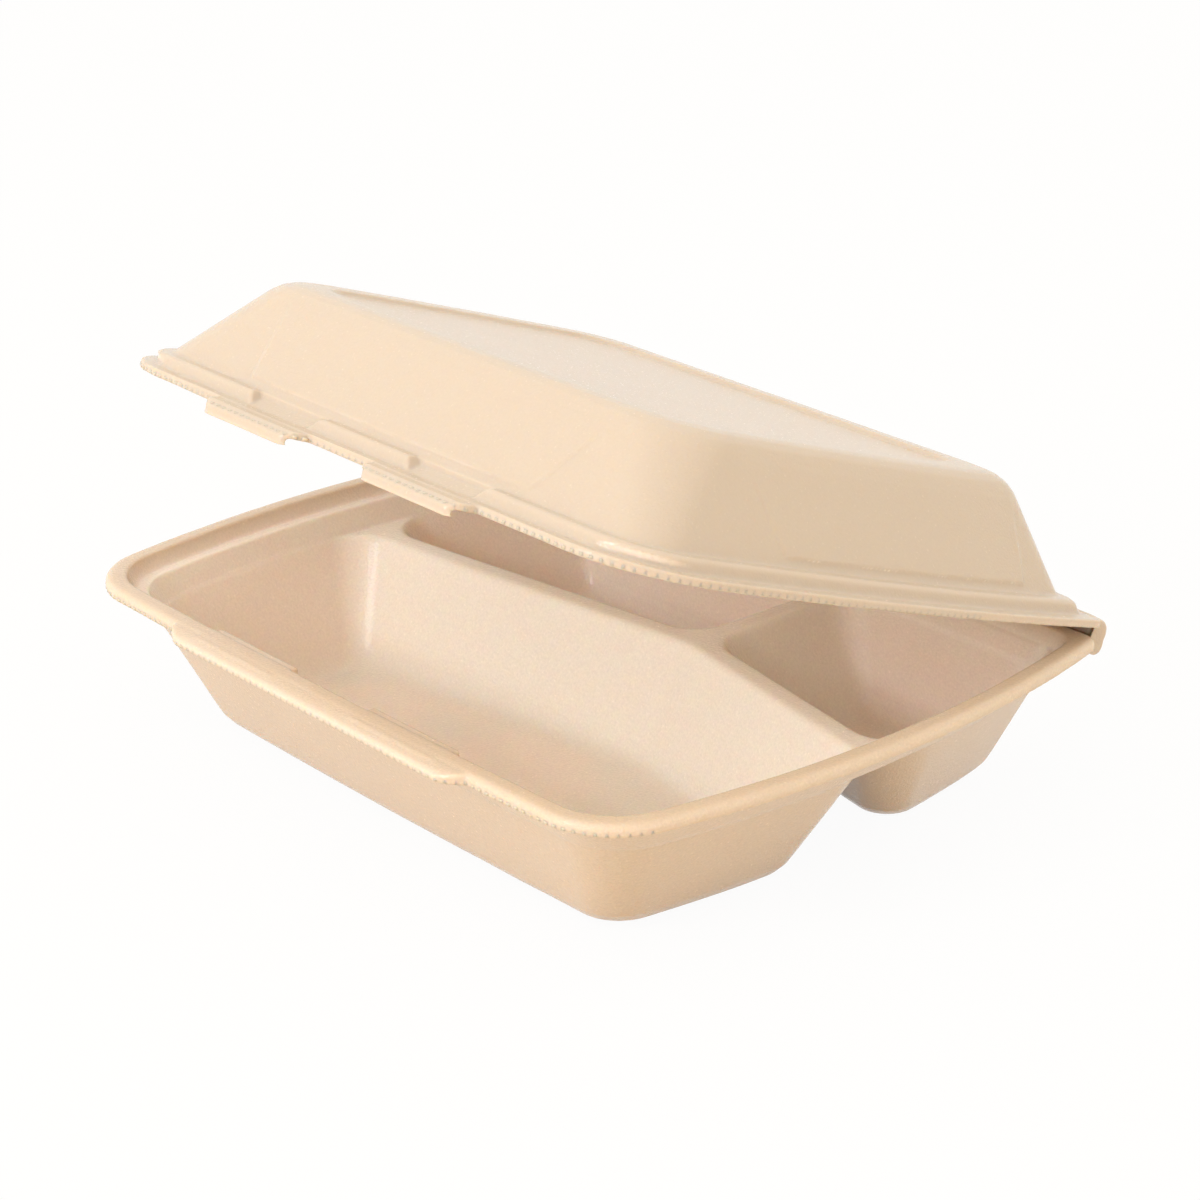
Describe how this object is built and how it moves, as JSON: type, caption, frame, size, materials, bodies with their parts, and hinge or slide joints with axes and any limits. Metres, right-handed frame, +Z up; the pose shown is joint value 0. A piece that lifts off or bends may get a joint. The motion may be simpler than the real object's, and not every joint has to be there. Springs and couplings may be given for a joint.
{
  "type": "foam clamshell food container",
  "caption": "Hinged-lid foam take-out box with a large and two small compartments, wide front lip and lid tabs that latch over it.",
  "frame": {"origin": "middle of the overall outline, on the table under the tray", "axes": "+Z up, +Y towards the hinge at the back, +X to the right seen from the front"},
  "size_m": [0.236, 0.1854, 0.1247],
  "materials": {
    "foam_tray": "satin foam skin with a fine grain",
    "foam_lid": "satin foam skin with a fine grain"
  },
  "bodies": {
    "tray": {"base_tray": "foam_tray"},
    "lid": {"hinged_lid": "foam_lid"}
  },
  "joints": [
    {"name": "lid_hinge", "type": "hinge", "parent": "tray", "child": "lid", "pos_m": [0, 0.091, 0.0398], "axis": [-1, 0, 0], "range_deg": [-19.6, 158.4]}
  ]
}
